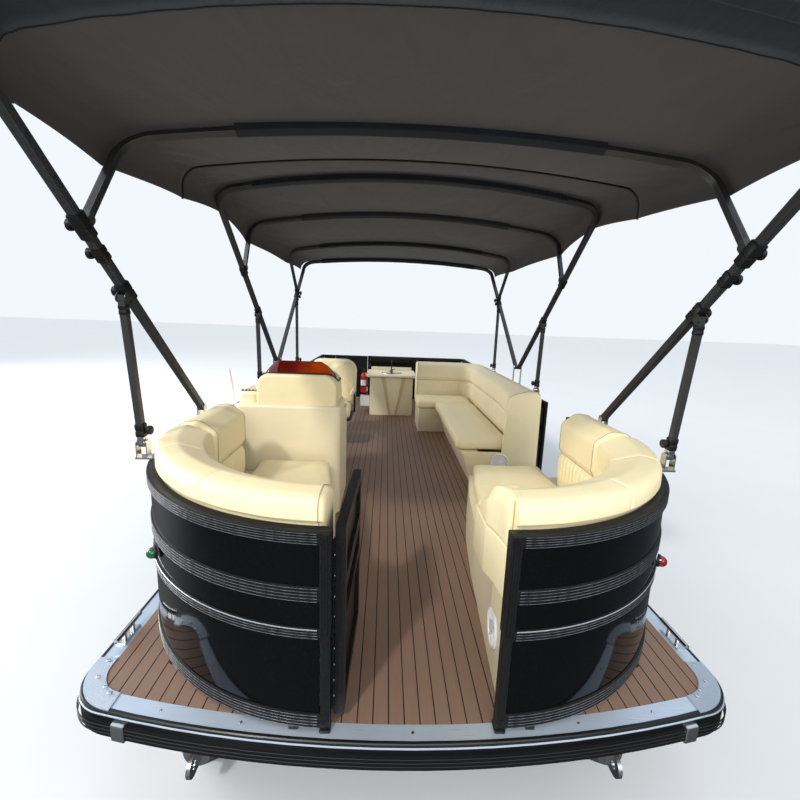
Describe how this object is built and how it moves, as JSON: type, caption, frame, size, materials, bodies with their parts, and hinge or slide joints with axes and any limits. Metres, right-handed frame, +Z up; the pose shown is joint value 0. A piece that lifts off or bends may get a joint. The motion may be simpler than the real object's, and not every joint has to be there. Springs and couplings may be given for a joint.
{
  "type": "pontoon boat",
  "caption": "Family pontoon boat with twin tubes, railed deck, bow lounges, helm console, galley, folding canopy top, gates, boarding ladder and tilting outboard.",
  "frame": {"origin": "on the floor under the middle of the boat's bounding box, at the keels' bottoms", "axes": "+X to port, +Y aft, +Z up; the bow faces -Y"},
  "size_m": [2.55, 8.2532, 3.0705],
  "materials": {
    "vinyl_cream": "soft",
    "rail_black": "satin",
    "base_cream": "satin",
    "stainless": "polished",
    "deck_plywood": "sealed",
    "edge_aluminium": "satin",
    "red_paint": "gloss",
    "panel_black": "gloss",
    "plastic_black": "matt",
    "frame_aluminium": "mill",
    "nav_lens": "gloss",
    "engine_paint": "gloss",
    "tube_aluminium": "brushed",
    "rub_rubber": "matt",
    "teak": "satin",
    "canvas": "woven",
    "screen_amber": "gloss"
  },
  "bodies": {
    "hull": {"bow_corner_seat_port": "vinyl_cream", "bow_corner_seat_starboard": "vinyl_cream", "bow_fence_port": "rail_black", "bow_fence_starboard": "rail_black", "bow_lounge_back_port": "vinyl_cream", "bow_lounge_back_starboard": "vinyl_cream", "bow_lounge_base_port": "base_cream", "bow_lounge_base_starboard": "base_cream", "cleats": "stainless", "console": "base_cream", "dash_pod": "vinyl_cream", "deck_board": "deck_plywood", "deck_edge": "edge_aluminium", "extinguisher": "red_paint", "fence_panels": "panel_black", "galley": "base_cream", "galley_side_box": "plastic_black", "helm_pedestal": "stainless", "ladder_brackets": "stainless", "main_lounge_back": "vinyl_cream", "main_lounge_base": "base_cream", "motor_pod": "frame_aluminium", "nav_lights": "nav_lens", "outboard_bracket": "engine_paint", "pontoon_port": "tube_aluminium", "pontoon_starboard": "tube_aluminium", "return_seat": "vinyl_cream", "rub_rail": "rub_rubber", "side_fence_port": "rail_black", "side_fence_starboard": "rail_black", "sink_tap": "stainless", "stern_fence": "rail_black", "teak_floor": "teak", "top_aft_bow": "rail_black", "top_fittings": "rail_black", "top_rear_canvas": "canvas", "underframe": "frame_aluminium", "windscreen": "screen_amber"},
    "bow_gate": {"bow_gate": "rail_black"},
    "side_gate": {"side_gate": "rail_black"},
    "stern_gate": {"stern_gate": "rail_black"},
    "front_top": {"top_front_bow": "rail_black", "top_front_canvas": "canvas"},
    "front_branch": {"top_front_branch": "rail_black"},
    "front_struts": {"top_front_struts": "rail_black"},
    "rear_top": {"top_rear_bow": "rail_black"},
    "rear_branch": {"top_rear_branch": "rail_black"},
    "rear_struts": {"top_rear_struts": "rail_black"},
    "aft_branch": {"top_aft_branch": "rail_black"},
    "swivel": {"outboard_swivel": "engine_paint"},
    "engine": {"outboard_unit": "engine_paint"},
    "propeller": {"propeller": "engine_paint"},
    "helm_wheel": {"steering_wheel": "plastic_black"},
    "helm_chair": {"helm_seat": "vinyl_cream"},
    "ladder": {"stern_ladder": "stainless"},
    "port_bow_lid": {"bow_side_seat_port": "vinyl_cream"},
    "starboard_bow_lid": {"bow_side_seat_starboard": "vinyl_cream"},
    "main_lid": {"main_lounge_seat": "vinyl_cream"}
  },
  "joints": [
    {"name": "bow_gate_hinge", "type": "hinge", "parent": "hull", "child": "bow_gate", "pos_m": [-0.261, -3.86877, 1.181], "axis": [0, 0, -1], "range_deg": [0, 88]},
    {"name": "side_gate_hinge", "type": "hinge", "parent": "hull", "child": "side_gate", "pos_m": [1.242, -1.58677, 1.181], "axis": [0, 0, -1], "range_deg": [0, 180]},
    {"name": "stern_gate_hinge", "type": "hinge", "parent": "hull", "child": "stern_gate", "pos_m": [-0.997, 2.32023, 1.181], "axis": [0, 0, 1], "range_deg": [0, 90]},
    {"name": "front_top_fold", "type": "hinge", "parent": "hull", "child": "front_top", "pos_m": [0, -2.61377, 1.651], "axis": [-1, 0, 0], "range_deg": [0, 57], "deforming": ["top_front_canvas"]},
    {"name": "front_branch_fold", "type": "hinge", "parent": "front_top", "child": "front_branch", "pos_m": [0, -3.4822, 2.51864], "axis": [1, 0, 0], "range_deg": [0, 83.3]},
    {"name": "front_strut_fold", "type": "hinge", "parent": "front_top", "child": "front_struts", "pos_m": [0, -3.30679, 2.24966], "axis": [1, 0, 0], "range_deg": [0, 37]},
    {"name": "rear_top_fold", "type": "hinge", "parent": "hull", "child": "rear_top", "pos_m": [0, -0.81377, 1.761], "axis": [-1, 0, 0], "range_deg": [0, 85], "deforming": ["top_rear_canvas"]},
    {"name": "rear_branch_fold", "type": "hinge", "parent": "rear_top", "child": "rear_branch", "pos_m": [0, -1.6926, 2.54936], "axis": [1, 0, 0], "range_deg": [0, 77.95]},
    {"name": "rear_strut_fold", "type": "hinge", "parent": "rear_top", "child": "rear_struts", "pos_m": [0, -1.38937, 2.1952], "axis": [1, 0, 0], "range_deg": [0, 47.4]},
    {"name": "aft_branch_fold", "type": "hinge", "parent": "hull", "child": "aft_branch", "pos_m": [0, 0.07746, 2.48877], "axis": [-1, 0, 0], "range_deg": [0, 99.65]},
    {"name": "outboard_tilt", "type": "hinge", "parent": "hull", "child": "swivel", "pos_m": [0, 3.07623, 0.764], "axis": [-1, 0, 0], "range_deg": [0, 62]},
    {"name": "outboard_steer", "type": "hinge", "parent": "swivel", "child": "engine", "pos_m": [0, 3.1382, 0.88055], "axis": [0, -0.8829, 0.4695], "range_deg": [-30, 30]},
    {"name": "propeller_spin", "type": "hinge", "parent": "engine", "child": "propeller", "pos_m": [0, 4.00307, 0.70723], "axis": [0, 0.4695, 0.8829], "continuous": true},
    {"name": "helm_wheel_turn", "type": "hinge", "parent": "hull", "child": "helm_wheel", "pos_m": [-0.725, -1.65877, 1.637], "axis": [0, 0.8829, 0.4695], "range_deg": [-462, 462]},
    {"name": "helm_seat_swivel", "type": "hinge", "parent": "hull", "child": "helm_chair", "pos_m": [-0.725, -0.51377, 1.111], "axis": [0, 0, 1], "continuous": true},
    {"name": "ladder_hinge", "type": "hinge", "parent": "hull", "child": "ladder", "pos_m": [0.83, 3.10823, 0.841], "axis": [-1, 0, 0], "range_deg": [0, 250]},
    {"name": "port_bow_seat_lid", "type": "hinge", "parent": "hull", "child": "port_bow_lid", "pos_m": [0.992, -2.59377, 1.221], "axis": [0, 1, 0], "range_deg": [0, 70]},
    {"name": "starboard_bow_seat_lid", "type": "hinge", "parent": "hull", "child": "starboard_bow_lid", "pos_m": [-0.992, -2.59377, 1.221], "axis": [0, -1, 0], "range_deg": [0, 70]},
    {"name": "main_seat_lid", "type": "hinge", "parent": "hull", "child": "main_lid", "pos_m": [0.9675, -0.83377, 1.221], "axis": [0, 1, 0], "range_deg": [0, 60]}
  ],
  "couplings": [
    {"joint": "front_branch_fold", "follows": "front_top_fold", "ratio": 1.4614},
    {"joint": "front_strut_fold", "follows": "front_top_fold", "ratio": 0.64911},
    {"joint": "rear_branch_fold", "follows": "rear_top_fold", "ratio": 0.91705},
    {"joint": "rear_strut_fold", "follows": "rear_top_fold", "ratio": 0.55764},
    {"joint": "aft_branch_fold", "follows": "rear_top_fold", "ratio": 1.1723},
    {"joint": "helm_wheel_turn", "follows": "outboard_steer", "ratio": 15.4}
  ]
}
